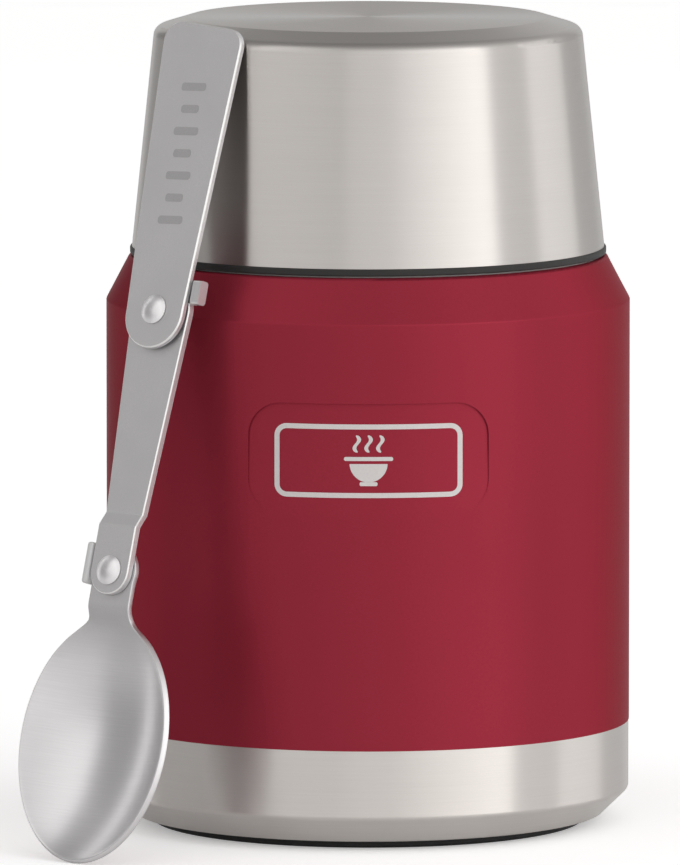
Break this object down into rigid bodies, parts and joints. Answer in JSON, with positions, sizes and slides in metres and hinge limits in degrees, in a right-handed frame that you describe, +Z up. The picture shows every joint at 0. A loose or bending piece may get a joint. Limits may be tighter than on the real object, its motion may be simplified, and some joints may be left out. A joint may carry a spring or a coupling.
{
  "type": "insulated food jar",
  "caption": "Double-walled vacuum food jar with a threaded stopper, a screw-on cup lid that serves as a bowl, and a folding spoon leaning on it.",
  "frame": {"origin": "centre of the jar's foot on the surface it stands on", "axes": "+Z up along the jar's axis, the front panel faces -Y, the spoon leans on the front left, -X -Y"},
  "size_m": [0.1103, 0.1137, 0.1476],
  "materials": {
    "red_coat": "satin powder coat over steel",
    "brushed_shell": "fine horizontal brushing",
    "vessel_steel": "satin drawn steel",
    "spoon_steel": "bead-blasted, bright broken edges",
    "black_plastic": "moulded, matte",
    "stopper_plastic": "moulded, fine texture",
    "foot_rubber": "matte",
    "silicone": "smooth grey",
    "white_print": "screen-printed ink on the coat",
    "foam": "closed-cell foam",
    "foil": "thin bright metal foil",
    "getter_metal": "pressed sintered pellet",
    "seal_metal": "cast solder pellet"
  },
  "bodies": {
    "jar": {"outer_casing": "red_coat", "base_cup": "brushed_shell", "foot_pad": "foot_rubber", "vacuum_base_plate": "vessel_steel", "vacuum_seal": "seal_metal", "getter": "getter_metal", "inner_vessel": "vessel_steel", "reflective_foil": "foil"},
    "lid_gasket": {"lid_seal": "silicone"},
    "lid": {"lid_shell": "brushed_shell", "lid_bowl": "vessel_steel", "lid_thread_ring": "black_plastic"},
    "stopper_gasket": {"stopper_seal": "silicone"},
    "stopper": {"stopper_body": "stopper_plastic", "stopper_cover": "stopper_plastic", "stopper_foam": "foam"},
    "bowl": {"spoon_bowl": "spoon_steel", "bowl_rivet": "spoon_steel"},
    "link": {"spoon_link": "spoon_steel", "handle_rivet": "spoon_steel"},
    "handle": {"spoon_handle": "spoon_steel"}
  },
  "joints": [
    {"name": "lid_lift", "type": "slide", "parent": "jar", "child": "lid_gasket", "axis": [0, 0, 1], "range_m": [0, 0.0452]},
    {"name": "lid_turn", "type": "hinge", "parent": "lid_gasket", "child": "lid", "pos_m": [0, 0, 0.1045], "axis": [0, 0, 1], "range_deg": [0, 1012.5]},
    {"name": "stopper_lift", "type": "slide", "parent": "jar", "child": "stopper_gasket", "axis": [0, 0, 1], "range_m": [0, 0.0222]},
    {"name": "stopper_turn", "type": "hinge", "parent": "stopper_gasket", "child": "stopper", "pos_m": [0, 0, 0.116], "axis": [0, 0, 1], "range_deg": [0, 495]},
    {"name": "spoon_lean", "type": "hinge", "parent": "jar", "child": "bowl", "pos_m": [-0.05316, -0.05945, 0], "axis": [0.7771, -0.6293, 0], "range_deg": [0, 4.2]},
    {"name": "bowl_fold", "type": "hinge", "parent": "bowl", "child": "link", "pos_m": [-0.04547, -0.04995, 0.05141], "axis": [0.6052, 0.7474, -0.274], "range_deg": [0, 180]},
    {"name": "handle_fold", "type": "hinge", "parent": "link", "child": "handle", "pos_m": [-0.0373, -0.03986, 0.097], "axis": [-0.5961, -0.7361, 0.3206], "range_deg": [0, 180]}
  ],
  "couplings": [
    {"joint": "lid_lift", "follows": "lid_turn", "m_per_rad": 0.0025465},
    {"joint": "stopper_lift", "follows": "stopper_turn", "m_per_rad": 0.0025465},
    {"joint": "spoon_lean", "follows": "lid_turn", "ratio": 0.004074}
  ]
}
